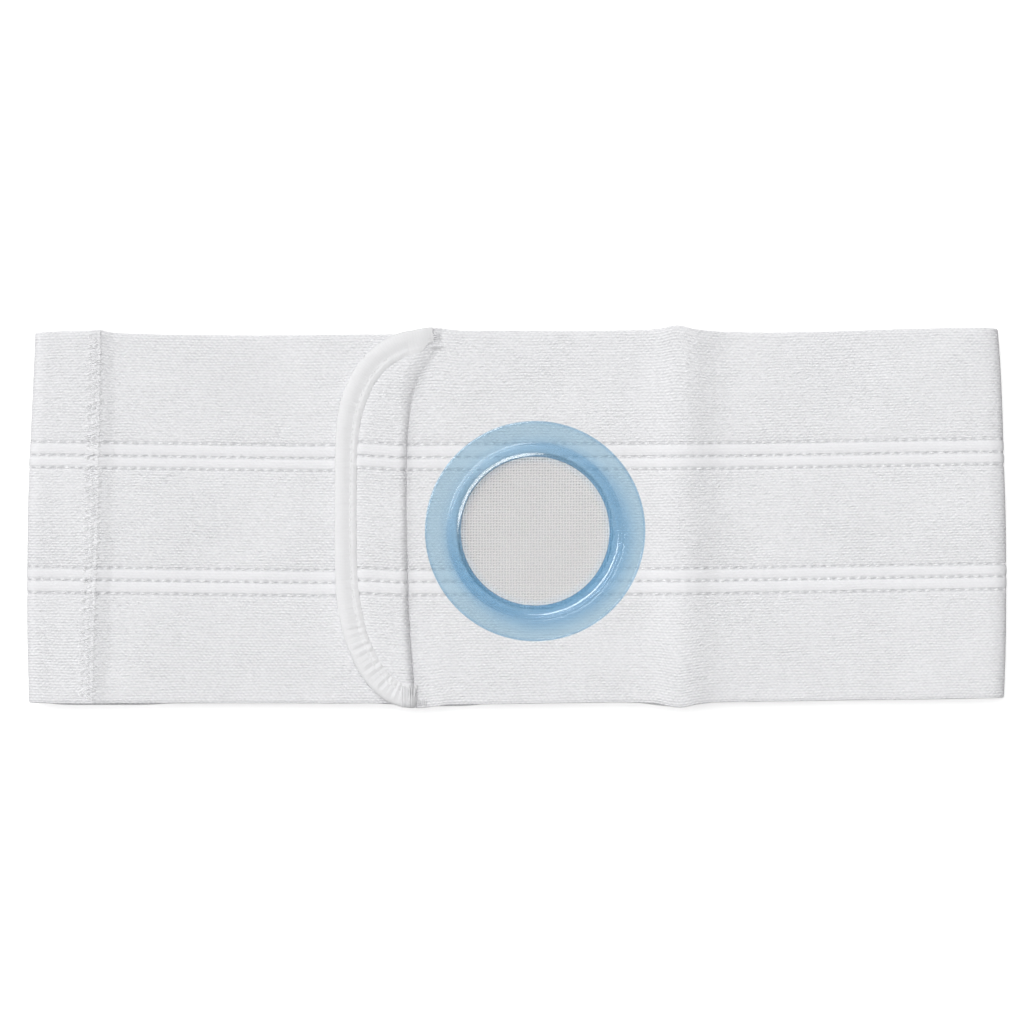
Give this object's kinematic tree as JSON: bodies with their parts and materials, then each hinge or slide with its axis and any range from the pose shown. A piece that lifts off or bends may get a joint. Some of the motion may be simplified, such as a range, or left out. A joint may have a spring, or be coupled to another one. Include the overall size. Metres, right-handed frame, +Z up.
{
  "type": "ostomy support belt",
  "caption": "Wide white elastic abdominal belt, closed and lying flat, with a bound D-shaped closing flap and a round opening with a pale blue vinyl ring over fine net.",
  "frame": {"origin": "centre of the footprint, on the surface that the belt lies on", "axes": "+X along the belt's length to the fold away from the flap, +Y across its width to its upper edge, +Z up out of the front"},
  "size_m": [0.4045, 0.1577, 0.0132],
  "materials": {
    "elastic": "matt ribbed woven elastic, white",
    "binding": "smooth soft knitted binding tape, white",
    "hook": "matt hook tape, white",
    "vinyl": "glossy translucent soft vinyl, pale blue",
    "net": "matt square net, white"
  },
  "bodies": {
    "root": {"belt_elastic": "elastic", "side_elastic": "elastic", "flap_binding": "binding", "hook_patch": "hook", "opening_ring": "vinyl", "net_panel": "net"}
  },
  "joints": []
}
